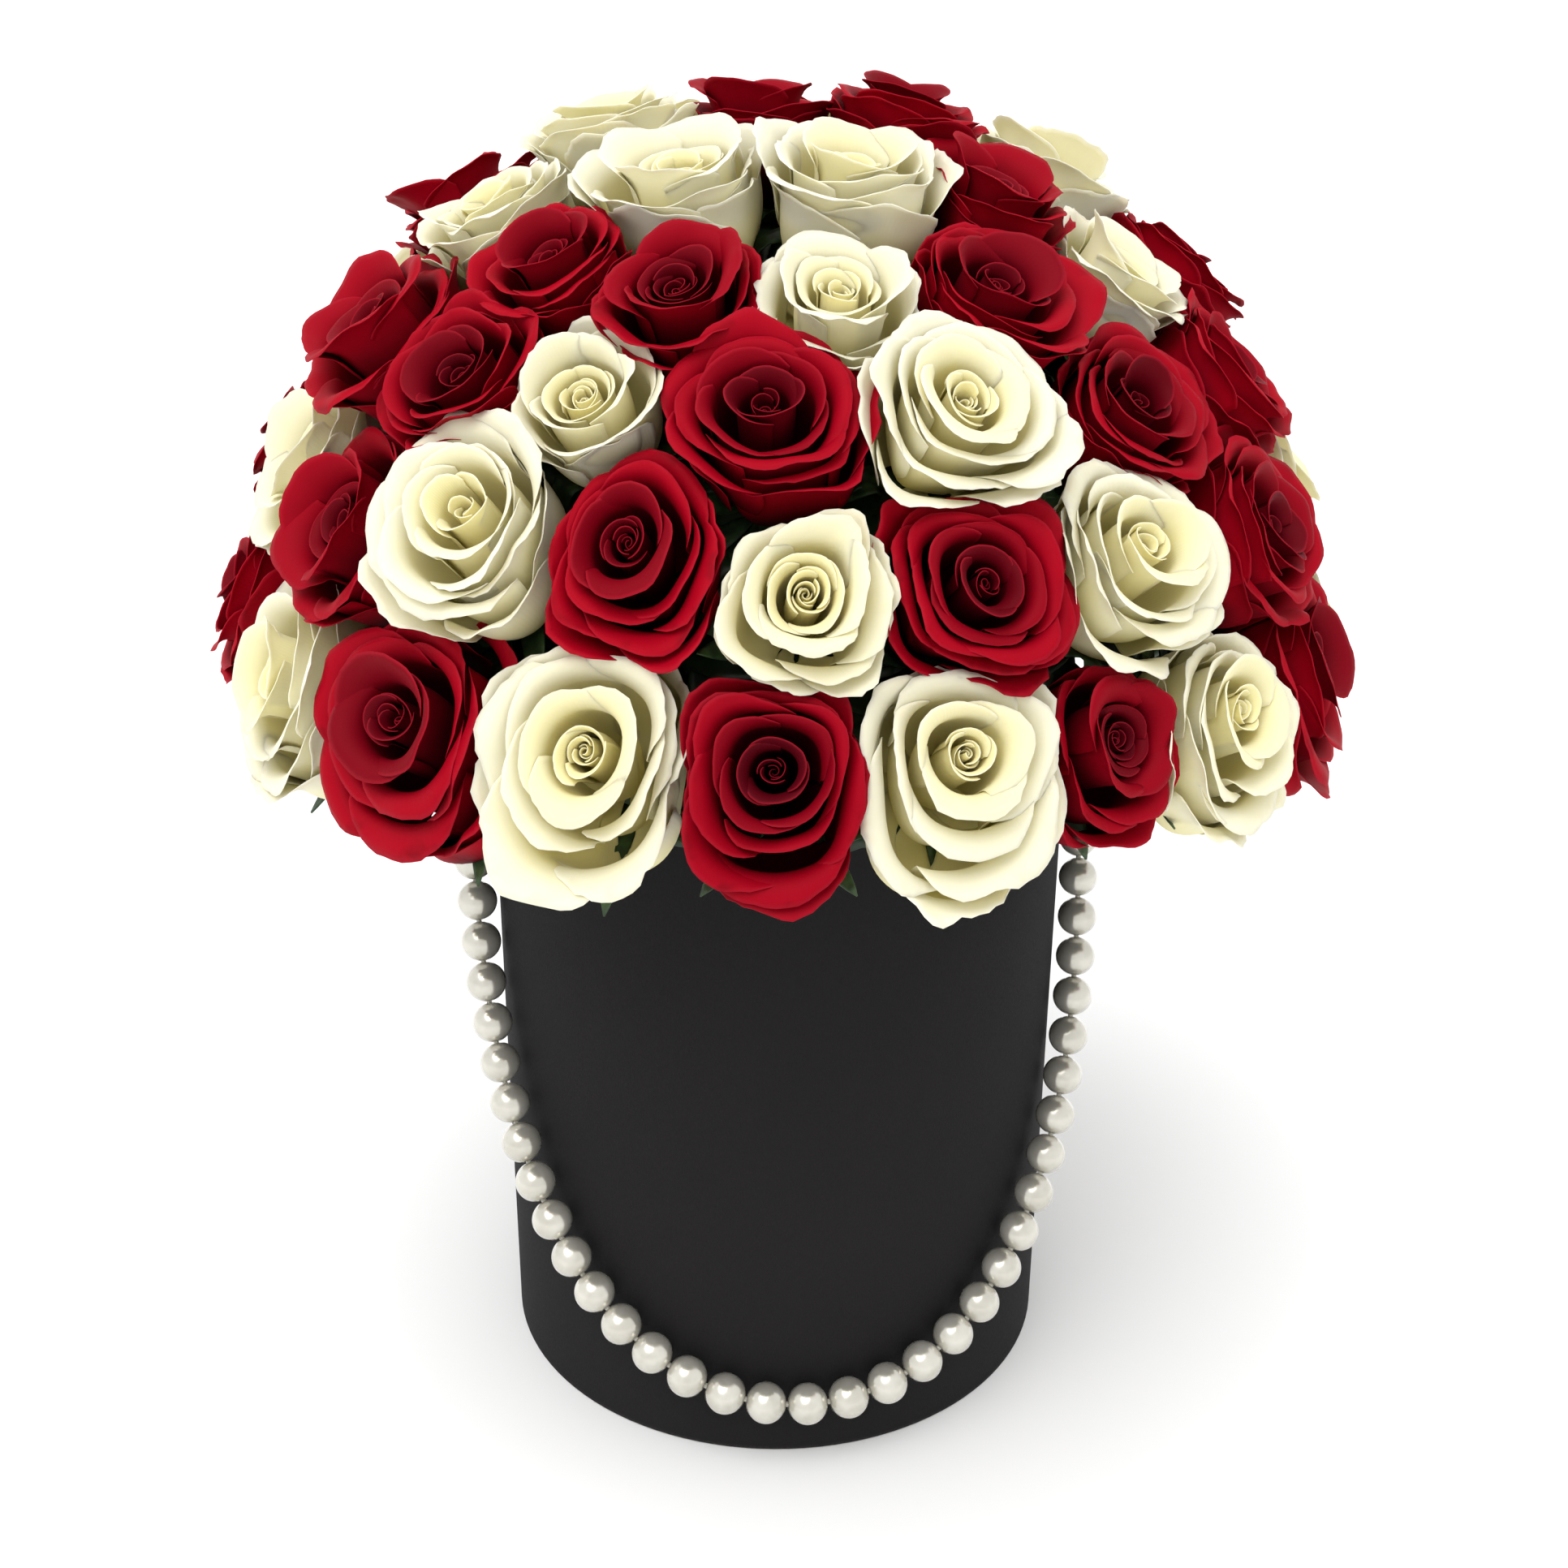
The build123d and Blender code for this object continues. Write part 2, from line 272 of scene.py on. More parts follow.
# --- materials ------------------------------------------------------------------------------
def petal_shader(name, deep, body, outer, rim, tinge, gloss, sheen, soft):
    """A petal: deep colour down inside the bloom as painted shade (for the whites also their own
    yellow-green), body colour, outer petals', thin rim lightened as a painted highlight, tinge.
    """
    shader = Shader(name, roughness=0.6)
    shader.set("Specular IOR Level", gloss)
    shader.set("Sheen Weight", sheen)
    shader.set("Sheen Roughness", 0.35)
    shader.set("Sheen Tint", (*rim, 1))
    shader.set("Subsurface Weight", soft)
    shader.set("Subsurface Radius", (0.5, 0.45, 0.3))
    shader.set("Subsurface Scale", 0.003)
    tip, ring, across = shader.value("tip"), shader.value("ring"), shader.value("across")
    blotch = shader.noise(60.0, 3.0)
    # Painted shade: towards its foot, down inside the bloom, each petal turns to the deep colour.
    lit = shader.math("ADD", tip, shader.math("MULTIPLY", shader.math("SUBTRACT", blotch, 0.5), 0.3))
    colour = shader.mix(shader.span(ring, 0.1, 0.75), body, outer)
    colour = shader.mix(shader.span(lit, 0.35, 0.85), deep, colour)
    # Painted shade in the heart: the inner rings turn to the deep colour, more so for a darker
    # bloom.
    tint = shader.value("tint")
    heart_shade_strength = shader.math("ADD", shader.math("MULTIPLY", tint, 0.45), 0.5)
    centre = shader.math("MULTIPLY", shader.span(ring, 0.05, 0.72, 1.0, 0.0), heart_shade_strength)
    colour = shader.mix(centre, colour, deep)
    patch = shader.span(shader.noise(110.0, 2.0), 0.52, 0.68)
    edge = shader.math("MULTIPLY", shader.span(tip, 0.86, 1.0), shader.span(ring, 0.55, 0.9))
    tinged = shader.math("MULTIPLY", shader.math("MULTIPLY", edge, patch), 0.6)
    colour = shader.mix(tinged, colour, tinge)
    # Painted highlight: a thin lighter band along each petal's margin, where the lip catches the
    # light.
    colour = shader.mix(shader.math("MULTIPLY", shader.span(tip, 0.965, 1.0), 0.5), colour, rim)
    # Painted shade and the bloom's own tone: the whole bloom turns a little towards the deep colour.
    colour = shader.mix(shader.math("MULTIPLY", tint, 0.22), colour, deep)
    shader.colour(colour)
    veins = shader.node("ShaderNodeTexWave", wave_type="BANDS", bands_direction="X")
    veins.inputs["Scale"].default_value = 5.0
    veins.inputs["Distortion"].default_value = 2.5
    veins.inputs["Detail"].default_value = 2.0
    where = shader.node("ShaderNodeCombineXYZ")
    shader.link(across, where.inputs["X"])
    shader.link(tip, where.inputs["Y"])
    shader.link(ring, where.inputs["Z"])
    shader.link(where.outputs["Vector"], veins.inputs["Vector"])
    height = shader.math("ADD", shader.math("MULTIPLY", veins.outputs["Fac"], 0.12), blotch)
    shader.bump(height, 0.0005, 0.22)
    return shader


def red_petal():
    return petal_shader(
        "red_petal",
        # Near-black deep colour: painted shade in the heart and low on the petals.
        deep=(0.042, 0.0002, 0.0030),
        body=(0.235, 0.0002, 0.0075),
        outer=(0.35, 0.0002, 0.0096),
        rim=(0.46, 0.012, 0.028),
        tinge=(0.14, 0.0002, 0.0034),
        gloss=0.06,
        sheen=0.012,
        soft=0.0,
    )


def white_petal():
    return petal_shader(
        "white_petal",
        # Deeper yellow-green: the petals' own colour at their base, darkened as painted shade.
        deep=(0.80, 0.72, 0.36),
        body=(0.83, 0.78, 0.53),
        outer=(0.84, 0.80, 0.60),
        rim=(0.86, 0.84, 0.69),
        tinge=(0.80, 0.68, 0.48),
        gloss=0.22,
        sheen=0.05,
        soft=0.4,
    )


def sepal_green():
    shader = Shader("sepal_green", roughness=0.5)
    mottle = shader.noise(260.0, 3.0)
    colour = shader.mix(shader.span(mottle, 0.35, 0.7), (0.014, 0.036, 0.010), (0.040, 0.090, 0.024))
    shader.colour(colour)
    shader.bump(mottle, 0.0003, 0.6)
    return shader


def rose_leaf():
    shader = Shader("rose_leaf", roughness=0.42)
    across = shader.value("across")
    midrib = shader.span(shader.math("ABSOLUTE", across, 0.0), 0.0, 0.10, 1.0, 0.0)
    mottle = shader.noise(120.0, 3.0)
    # The leaves' greens are very dark: their own colour, darkened further as painted shade for the
    # gaps between the blooms.
    colour = shader.mix(shader.span(mottle, 0.3, 0.7), (0.008, 0.022, 0.007), (0.018, 0.046, 0.013))
    shader.colour(shader.mix(shader.math("MULTIPLY", midrib, 0.6), colour, (0.04, 0.08, 0.025)))
    shader.bump(shader.math("ADD", mottle, midrib), 0.0005, 0.6)
    return shader


def stem():
    shader = Shader("stem_green", roughness=0.45)
    mottle = shader.noise(180.0, 2.0)
    shader.colour(shader.mix(mottle, (0.015, 0.045, 0.011), (0.04, 0.09, 0.022)))
    shader.bump(shader.noise(900.0, 2.0, stretch=(1, 1, 0.15)), 0.0002, 0.5)
    return shader


def wet_foam():
    shader = Shader("wet_foam", roughness=0.35)
    pores = shader.node("ShaderNodeTexVoronoi")
    pores.inputs["Scale"].default_value = 900.0
    shader.link(shader.place(), pores.inputs["Vector"])
    shader.colour(shader.mix(shader.noise(40.0), (0.012, 0.045, 0.018), (0.03, 0.09, 0.035)))
    shader.bump(pores.outputs["Distance"], 0.0006, 0.8)
    return shader


def covering_paper():
    shader = Shader("charcoal_paper", roughness=0.82)
    shader.set("Specular IOR Level", 0.14)
    fibre = shader.noise(2600.0, 3.0, 0.7, stretch=(1, 1, 0.35))
    cloud = shader.noise(18.0, 2.0)
    height = shader.node("ShaderNodeSeparateXYZ")
    shader.link(shader.place(), height.inputs["Vector"])
    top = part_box("cover_paper")[1].z
    worn_rim = shader.span(height.outputs["Z"], top - 0.0012, top, 0.0, 0.35)
    worn_foot = shader.span(height.outputs["Z"], 0.0, 0.0015, 0.35, 0.0)
    worn = shader.math("ADD", worn_rim, worn_foot)
    wear = shader.math("MULTIPLY", worn, shader.span(fibre, 0.4, 0.62))
    colour = shader.mix(cloud, (0.0098, 0.0090, 0.0095), (0.0120, 0.0110, 0.0116))
    shader.colour(shader.mix(wear, colour, (0.085, 0.08, 0.078)))
    shader.rough(shader.span(fibre, 0.3, 0.7, 0.76, 0.9))
    shader.bump(fibre, 0.00025, 0.35)
    return shader


def grey_board():
    shader = Shader("grey_board", roughness=0.9)
    fleck = shader.noise(1400.0, 4.0, 0.7)
    share = shader.span(fleck, 0.35, 0.65)
    shader.colour(shader.mix(share, (0.20, 0.165, 0.125), (0.36, 0.30, 0.235)))
    shader.bump(fleck, 0.0003, 0.5)
    return shader


def black_plastic():
    shader = Shader("liner_plastic", roughness=0.42)
    grain = shader.noise(1500.0, 2.0)
    shader.colour(shader.mix(grain, (0.012, 0.012, 0.012), (0.02, 0.02, 0.021)))
    shader.rough(shader.span(shader.noise(35.0), 0.3, 0.7, 0.36, 0.5))
    shader.bump(grain, 0.0001, 0.3)
    return shader


def satin_nickel():
    shader = Shader("satin_nickel", metallic=1.0)
    brushed = shader.noise(900.0, 3.0, stretch=(1, 1, 8))
    shader.colour(shader.mix(brushed, (0.50, 0.49, 0.46), (0.66, 0.65, 0.61)))
    shader.rough(shader.span(brushed, 0.3, 0.7, 0.24, 0.38))
    shader.bump(brushed, 0.00004, 0.4)
    return shader


def pearl_lacquer():
    shader = Shader("pearl_lacquer", roughness=0.22)
    shader.set("Metallic", 0.6)
    shader.set("Specular IOR Level", 0.6)
    shader.set("Coat Weight", 1.0)
    shader.set("Coat Roughness", 0.06)
    swirl = shader.noise(140.0, 2.0)
    colour = shader.mix(shader.span(swirl, 0.3, 0.7), (0.54, 0.52, 0.45), (0.64, 0.62, 0.55))
    shader.colour(colour)
    shader.rough(shader.span(swirl, 0.3, 0.7, 0.20, 0.27))
    shader.bump(shader.noise(420.0, 1.0), 0.00002, 0.3)
    return shader


def nylon_cord():
    shader = Shader("nylon_cord", roughness=0.6)
    twist = shader.node("ShaderNodeTexWave", wave_type="BANDS", bands_direction="DIAGONAL")
    twist.inputs["Scale"].default_value = 500.0
    shader.link(shader.place(), twist.inputs["Vector"])
    shader.colour(shader.mix(twist.outputs["Fac"], (0.55, 0.52, 0.44), (0.80, 0.78, 0.70)))
    shader.bump(twist.outputs["Fac"], 0.0003, 0.6)
    return shader


# --- rose heads -----------------------------------------------------------------------------
# How many times the radius of its CAD head a bloom opens to where nothing presses on it. Some
# blooms have a value of their own.
FULLNESS = 1.57
WIDTHS = {
    "red_rose_a08": 1.28,
    "white_rose_a05": 1.5,
    "white_rose_b05": 1.42,
    "red_rose_b06": 1.6,
    "red_rose_c04": 1.55,
    "white_rose_c05": 1.62,
    "white_rose_e02": 1.72,
    "white_rose_e03": 1.72,
    "red_rose_f02": 1.6,
}
BOX_MIDDLE = np.array([0, 0, 0.1])
# How far up a head its widest place is, as a share of its height.
CROWN = 0.75
# How sharply a bloom turns at a neighbour, and the least that is left of its radius.
ROUNDNESS = 6.0
LEAST_ROOM = 0.4
# How far over the halfway plane between two blooms their petals' lips may lap.
LAPPING = 1.07
# A head's tilt, as a sine, under which it has no upward side of its own.
NEARLY_UPRIGHT = 0.2
# Points of a CAD head that are this near are one point.
SAME_POINT = 1e-6


class Head:
    """A rose head's place: its foot, its axis, its radius and its height."""

    def __init__(self, node, number, points):
        self.node = node
        self.name = node.replace("_roses_", "_rose_").replace("_rose_", "_bloom_")
        if number is not None:
            self.name += f"_{number:02d}"
        cloud = np.array(points)
        middle = cloud.mean(axis=0)
        cloud = cloud - middle
        # A head's points spread furthest along its axis, which leads away from the box.
        axis = np.linalg.eigh(cloud.T @ cloud)[1][:, -1]
        axis *= math.copysign(1, axis @ (middle - BOX_MIDDLE))
        along = cloud @ axis
        self.axis = Vector(axis)
        self.foot = Vector(middle + axis * along.min())
        self.height = float(along.max() - along.min())
        across = cloud - along[:, None] * axis
        core = float(np.linalg.norm(across, axis=1).max())
        self.radius = WIDTHS.get(node, FULLNESS) * core
        self.red = node.startswith("red")
        self.centre = np.array(self.foot + self.axis * (CROWN * self.height))

    def frame(self):
        """The head's own frame: +Z along the stem, +Y as nearly upwards as it can be."""
        up = Vector((0, 0, 1)) - self.axis * self.axis.z
        if up.length < NEARLY_UPRIGHT:
            up = Vector((0, 1, 0)) - self.axis * self.axis.y
        up.normalize()
        side = up.cross(self.axis)
        return Matrix(
            (
                (side.x, up.x, self.axis.x, self.foot.x),
                (side.y, up.y, self.axis.y, self.foot.y),
                (side.z, up.z, self.axis.z, self.foot.z),
                (0, 0, 0, 1),
            )
        )


def separate_solids(obj):
    """The points of each connected solid of a CAD node."""
    bm = bmesh.new()
    bm.from_mesh(obj.data)
    bmesh.ops.remove_doubles(bm, verts=bm.verts, dist=SAME_POINT)
    left, solids = set(bm.verts), []
    for start in bm.verts:
        if start not in left:
            continue
        left.discard(start)
        island, front = [start], [start]
        while front:
            for edge in front.pop().link_edges:
                for vert in edge.verts:
                    if vert in left:
                        left.discard(vert)
                        island.append(vert)
                        front.append(vert)
        solids.append([tuple(vert.co) for vert in island])
    bm.free()
    return solids


def find_heads():
    """Every rose head of the CAD model, in the order of the nodes' names."""
    heads = []
    for name in sorted(frame["nodes"]):
        if "_rose_" in name or "_roses_" in name:
            solids = separate_solids(frame["nodes"][name])
            for number, points in enumerate(solids, start=1):
                heads.append(Head(name, number if len(solids) > 1 else None, points))
    return heads


# How open each of these blooms is, from 0, a tight bud, to 1; the others are somewhere between.
OPENNESS = {
    "white_rose_a05": 1.0,
    "white_rose_a07": 0.95,
    "red_rose_a04": 0.9,
    "red_rose_a06": 0.5,
    "white_rose_b03": 0.7,
    "white_rose_b05": 0.55,
    "red_rose_b06": 0.9,
    "red_rose_c04": 0.7,
    "white_rose_c05": 0.95,
    "white_rose_d05": 0.8,
    "white_rose_c03": 0.2,
}


def ripple(rng, sheets, x, waves=3):
    """Smooth noise along x, different for each sheet, about -1 to 1."""
    total = 0
    for wave in range(1, waves + 1):
        phase = rng.uniform(0, 2 * math.pi, (sheets, 1, 1))
        pitch = rng.uniform(1.6, 2.4, (sheets, 1, 1)) * wave
        total = total + np.sin(pitch * x * math.pi + phase) / wave
    return total / 1.6


# The rings of a bloom from its heart outwards: the wall's radius as a share of the bloom's, the
# number of petals, how much of the ring's share of the circle each one covers, the lip's height
# as a share of the bloom's, the lip's length as a share of the radius, and its roll in degrees.
RINGS = [
    (0.050, 2, 1.55, 0.880, 0.05, 25),
    (0.110, 3, 1.50, 0.895, 0.10, 60),
    (0.190, 3, 1.48, 0.905, 0.15, 85),
    (0.310, 3, 1.45, 0.905, 0.21, 102),
    (0.460, 4, 1.45, 0.890, 0.26, 112),
    (0.630, 4, 1.45, 0.855, 0.30, 118),
    (0.800, 5, 1.45, 0.800, 0.33, 122),
    (0.900, 5, 1.30, 0.640, 0.36, 84),
]
# Each bloom lacks one of these rings, and the ring inside the gap is wider, with broader lips.
SPARE_RINGS = (3, 6)
WIDER_WALL = 0.045
BROADER_LIP = 1.75
RING_SHIFT = 0.06
TIGHTEST_ROLL = 2.7
# How far along a petal its wall ends and its lip begins.
LIP_START = 0.62


def ring_values(rng):
    """For every petal the way it faces, its ring's values and how far its ring stands aside."""
    rows = []
    start = rng.uniform(0, 2 * math.pi)
    missing = rng.integers(*SPARE_RINGS)
    for order, (wall, count, cover, high, lip, roll) in enumerate(RINGS):
        if order == missing:
            continue
        if order == missing - 1:
            wall += WIDER_WALL
            lip *= BROADER_LIP
        start += math.pi / count + rng.uniform(-0.3, 0.3)
        step = 2 * math.pi / count
        aside, along = RING_SHIFT * wall * rng.uniform(-1, 1, 2)
        for place in range(count):
            turn = start + step * place
            rows.append((turn, wall, cover * step / 2, high, lip, math.radians(roll), aside, along))
    return (column.reshape(-1, 1, 1) for column in np.array(rows).T)


def bloom_surface(radius, height, openness, ragged, curl, rng):
    """The petals of one bloom as sheets of points about +Z, its foot at the origin."""
    turn, wall, half_angle, high, lip, roll, aside, along = ring_values(rng)
    petals = len(turn)
    order = (wall - RINGS[0][0]) / (RINGS[-1][0] - RINGS[0][0])
    t = (np.linspace(0, 1, PETAL_ROWS) ** 0.8).reshape(1, -1, 1)
    u = np.linspace(-1, 1, PETAL_COLUMNS).reshape(1, 1, -1)

    def jitter(low, high):
        return rng.uniform(low, high, (petals, 1, 1))

    # A petal's length falls off to its sides, and its margin is a little ragged.
    drop = 0.13 + 0.17 * order
    notches = ragged * (0.3 + 0.7 * order) * ripple(rng, petals, 1.5 * u, 4) * t**5
    point = 0.05 * order * np.exp(-(((u - jitter(-0.2, 0.2)) / 0.25) ** 2)) * t**4
    reach = t * (1 - drop * np.abs(u) ** 2.6) + notches + point

    # The wall of the cup, then the lip, which rolls outwards along an arc.
    wall_radius = radius * wall * (1 + 0.04 * openness) * jitter(0.95, 1.05)
    cup = (0.02 + 0.11 * rng.uniform()) * (1 - order) ** 1.5
    lip_height = height * (high - cup - 0.16 * (openness - 0.2) * order**2)
    slant = jitter(-0.05, 0.05) * height * u
    lip_height = lip_height * jitter(0.955, 1.025)
    lip = radius * lip * (0.85 + 0.35 * openness) * jitter(0.8, 1.2)
    roll = curl * roll * (0.8 + 0.35 * openness) * jitter(0.78, 1.22)
    roll = roll * (0.78 + 0.45 * np.abs(u) ** 1.5) + 0.20 * order * ripple(rng, petals, u, 2)
    roll = np.clip(roll, 0.05, TIGHTEST_ROLL)

    rise = np.clip(reach / LIP_START, 0, 1)
    foot_radius = 0.10 * radius * (0.3 + 0.7 * order)
    fullness = 1.9 + 1.0 * order
    r = foot_radius + (wall_radius - foot_radius) * (1 - (1 - rise) ** fullness)
    z = 0.02 * height + (lip_height - 0.02 * height) * rise ** (1.0 + 0.35 * order)
    rolled = np.clip((reach - LIP_START) / (1 - LIP_START), 0, 1.15)
    bend = roll * rolled**1.25
    r = r + lip / roll * (1 - np.cos(bend))
    z = z + lip / roll * np.sin(bend) + slant * reach**2

    # Inner petals lean in over the heart; each petal is tucked in at one side, and is a little
    # flatter than the ring that it stands in.
    heart = 1 - smoothstep(0.0, 0.35, order)
    r = r * (1 - 0.32 * heart * reach**2)
    r = r + radius * (0.022 + 0.038 * order) * u * smoothstep(0.1, 0.8, reach)
    r = r * (1 + (0.06 + 0.05 * (1 - order)) * (u**2 - 0.33) * reach)
    r = r * radius / np.percentile(r[:, -1], 96)
    z = z * height / z.max()

    half_angle = half_angle * jitter(0.9, 1.1)
    width = 0.30 + 0.70 * smoothstep(0.0, 0.55, reach)
    angle = turn + jitter(-0.22, 0.22) + half_angle * width * u
    x = r * np.cos(angle) + 2 * radius * aside * reach
    y = r * np.sin(angle) + 2 * radius * along * reach
    return np.stack(np.broadcast_arrays(x, y, z), axis=-1), t, u, order


def bent(surface, radius, height, rng):
    """The whole bloom leaning and dented a little, so that no two are alike."""
    x, y, z = surface[..., 0], surface[..., 1], surface[..., 2]
    share = np.clip(z / height, 0, 1)
    near_axis = np.clip(1 - (x**2 + y**2) / (1.3 * radius) ** 2, 0, 1)
    lean = rng.uniform(-0.08, 0.08, 2) * radius
    phase = rng.uniform(0, 2 * math.pi, 4)
    wobble_x = np.sin(y / radius * 2.1 + phase[0]) + np.sin(z / height * 3.0 + phase[1])
    wobble_y = np.sin(x / radius * 2.1 + phase[2]) + np.sin(z / height * 3.0 + phase[3])
    oval = rng.uniform(-0.13, 0.13) * near_axis * share
    x, y = x * (1 + oval), y * (1 - oval)
    x = x + lean[0] * share**2 + 0.024 * radius * wobble_x * share
    y = y + lean[1] * share**2 + 0.024 * radius * wobble_y * share
    return np.stack([x, y, z], axis=-1)


def hanging(surface, order, radius, sag):
    """The outer petals of a bloom on the dome's side reach further and sag on their lower side."""
    x, y, z = surface[..., 0], surface[..., 1], surface[..., 2]
    below = smoothstep(0.0, 1.0, -y / radius) * order
    above = smoothstep(0.0, 1.0, y / radius) * order
    lift = 0.10 * sag * radius * smoothstep(0.2, 0.9, z / radius)
    reach = y * (1 + 0.06 * sag * below + 0.02 * sag * above) + lift
    return np.stack([x, reach, z - 0.18 * sag * radius * below], axis=-1)


def squeezed(points, head, heads):
    """A bloom's points, drawn in smoothly towards its axis where the neighbours leave no room."""
    axis = np.array(head.axis)
    along = (points - head.centre) @ axis
    across = points - head.centre - along[:, None] * axis
    distance = np.maximum(np.linalg.norm(across, axis=1), 1e-9)
    facing = across / distance[:, None]
    crowding = np.full(len(points), head.radius**-ROUNDNESS)
    for other in heads:
        apart = other.centre - head.centre
        gap = np.linalg.norm(apart)
        if other is head or gap > head.radius + other.radius:
            continue
        normal = apart / gap
        halfway = (gap**2 + head.radius**2 - other.radius**2) / (2 * gap)
        room = LAPPING * (halfway - along * (axis @ normal)) / np.maximum(facing @ normal, 1e-6)
        crowding += np.maximum(room, LEAST_ROOM * head.radius) ** -ROUNDNESS
    drawn_in = 1 - crowding ** (-1 / ROUNDNESS) / head.radius
    outer = smoothstep(0.0, 0.8, distance / head.radius)
    middle = head.centre + along[:, None] * axis
    return middle + across * (1 - outer * drawn_in)[:, None]


# How ragged the petals' margins are, and how far their lips roll, for each colour.
RED_RAGGED, RED_CURL = 0.014, 0.88
WHITE_RAGGED, WHITE_CURL = 0.024, 0.78
# How dark these are, from 0 to 1: their own tone and how much painted shade their hearts get; the
# others are somewhere in the lower half.
TONES_AND_HEART_SHADES = {
    "red_rose_a06": 0.95,
    "red_rose_a08": 0.8,
    "red_rose_a04": 0.4,
    "red_rose_b06": 0.55,
    "red_rose_b08": 0.5,
    "red_rose_c02": 0.6,
    "red_rose_c06": 0.55,
    "red_rose_c01": 0.0,
    "red_rose_d03": 0.0,
    "white_rose_a05": 0.6,
    "white_rose_a07": 0.35,
    "white_rose_a09": 0.5,
    "white_rose_b03": 0.35,
    "white_rose_b05": 0.95,
    "white_rose_c03": 0.4,
    "white_rose_c05": 0.1,
    "white_rose_d05": 0.0,
    "white_rose_e02": 0.0,
    "white_rose_e03": 0.0,
}
# How steep a head's axis is, as a sine, where its petals sag fully and where they don't at all.
SAGGING_RINGS = (0.48, 0.85)


def make_bloom(head, heads, shaders, rng):
    """One rose as a piece of its own."""
    openness = OPENNESS.get(head.node, rng.uniform(0.25, 0.8))
    sag = 1 - smoothstep(*SAGGING_RINGS, head.axis.z)
    ragged, curl = (RED_RAGGED, RED_CURL) if head.red else (WHITE_RAGGED, WHITE_CURL)
    surface, t, u, order = bloom_surface(head.radius, head.height, openness, ragged, curl, rng)
    surface = bent(surface, head.radius, head.height, rng)
    surface = hanging(surface, order, head.radius, sag)
    edge = np.maximum(t**8, np.abs(u) ** 8)
    thickness = np.broadcast_to(PETAL_THICKNESS * (1 - 0.55 * edge), surface.shape[:3])
    points, quads = thin_shell(surface, thickness)
    points = squeezed(placed(points, head.frame()), head, heads)
    obj = mesh_object(head.name, points, quads)
    # How dark the bloom is: its own tone and the painted shade in its heart.
    tint = TONES_AND_HEART_SHADES.get(head.node, rng.uniform(0, 0.5))
    paint(
        obj,
        tip=both_skins(t * np.ones_like(u), surface),
        ring=both_skins(order, surface),
        across=both_skins(u, surface),
        tint=np.full(len(points), tint),
    )
    colour = "red" if head.red else "white"
    dress(obj, shaders[colour])
    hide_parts(head.node)
    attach(obj, "bouquet")


# --- calyxes --------------------------------------------------------------------------------
CALYX_LENGTH = 0.008
STEM_RADIUS = 0.0022
SEPAL_THICKNESS = 0.0005
HIP_SEGMENTS = 16
# The calyx's width, and where the sepals leave it, as shares of the bloom's radius.
HIP_SHARE = 0.2
SEPAL_SHARE = 0.19
# The room a bloom's cup takes under its widest place, as shares of its radius and height.
CUP_WIDTH = 0.95
CUP_DEPTH = 0.8


def under_cups(surface, heads):
    """Points of green parts, let down along each bloom's axis until they are beneath its cup."""
    for head in heads:
        axis = np.array(head.axis)
        offset = surface - head.centre
        along = offset @ axis
        across = np.linalg.norm(offset - along[..., None] * axis, axis=-1)
        inside = np.clip(1 - (across / (CUP_WIDTH * head.radius)) ** 2, 0, 1)
        too_high = np.maximum(along + CUP_DEPTH * head.height * np.sqrt(inside), 0)
        surface = surface - (too_high * (inside > 0))[..., None] * axis
    return surface


def sepal_surface(head, rng):
    """Five pointed sepals under a bloom, some lying along it and some curled back."""
    order = np.arange(SEPALS).reshape(-1, 1, 1)
    t = np.linspace(0, 1, 11).reshape(1, -1, 1)
    u = np.linspace(-1, 1, 5).reshape(1, 1, -1)
    length = head.radius * rng.uniform(0.75, 1.05, (SEPALS, 1, 1))
    start = np.radians(rng.uniform(66, 80, (SEPALS, 1, 1)))
    curl = np.radians(rng.uniform(-38, 45, (SEPALS, 1, 1))) + 0.01
    out = SEPAL_SHARE * head.radius + length / curl * (np.cos(start) - np.cos(start + curl * t))
    rise = length / curl * (np.sin(start + curl * t) - np.sin(start))
    width = 0.0046 * (0.55 + 1.6 * t) * (1 - t) ** 0.9 + 0.0002
    turn = 2 * math.pi / SEPALS * order + rng.uniform(0, 2 * math.pi)
    side = u * width
    hollow = 0.0012 * (u**2) * (1 - t)
    x = out * np.cos(turn) - side * np.sin(turn)
    y = out * np.sin(turn) + side * np.cos(turn)
    return np.stack(np.broadcast_arrays(x, y, rise + hollow), axis=-1)


def hip_profile(head):
    """The green swelling under a bloom, from the stem to the sepals, as a closed outline."""
    top = HIP_SHARE * head.radius
    shares = np.linspace(0, 1, 7)
    swell = [(STEM_RADIUS + (top - STEM_RADIUS) * math.sin(s * math.pi / 2)) for s in shares]
    outline = [(r, -CALYX_LENGTH * (1 - s)) for r, s in zip(swell, shares)]
    return outline + [(0.6 * top, 0.0004), (0.0006, 0.0004), (0.0006, -CALYX_LENGTH)]


def make_calyxes(heads, shader, rng):
    """The calyx and the sepals of every rose, as one piece."""
    parts = []
    for head in heads:
        place = head.frame()
        points, quads = lathe(hip_profile(head), HIP_SEGMENTS)
        parts.append((placed(points, place), quads))
        surface = under_cups(placed(sepal_surface(head, rng), place), heads)
        parts.append(thin_shell(surface, np.full(surface.shape[:3], SEPAL_THICKNESS)))
    obj = mesh_object("calyxes_and_sepals", *joined(parts))
    dress(obj, shader)
    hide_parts("rose_calyxes")
    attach(obj, "bouquet")


# --- leaves ---------------------------------------------------------------------------------
LEAVES_PER_STEM = 5
LEAF_LENGTH = 0.043
LEAF_HALF_WIDTH = 0.013
LEAF_THICKNESS = 0.0004
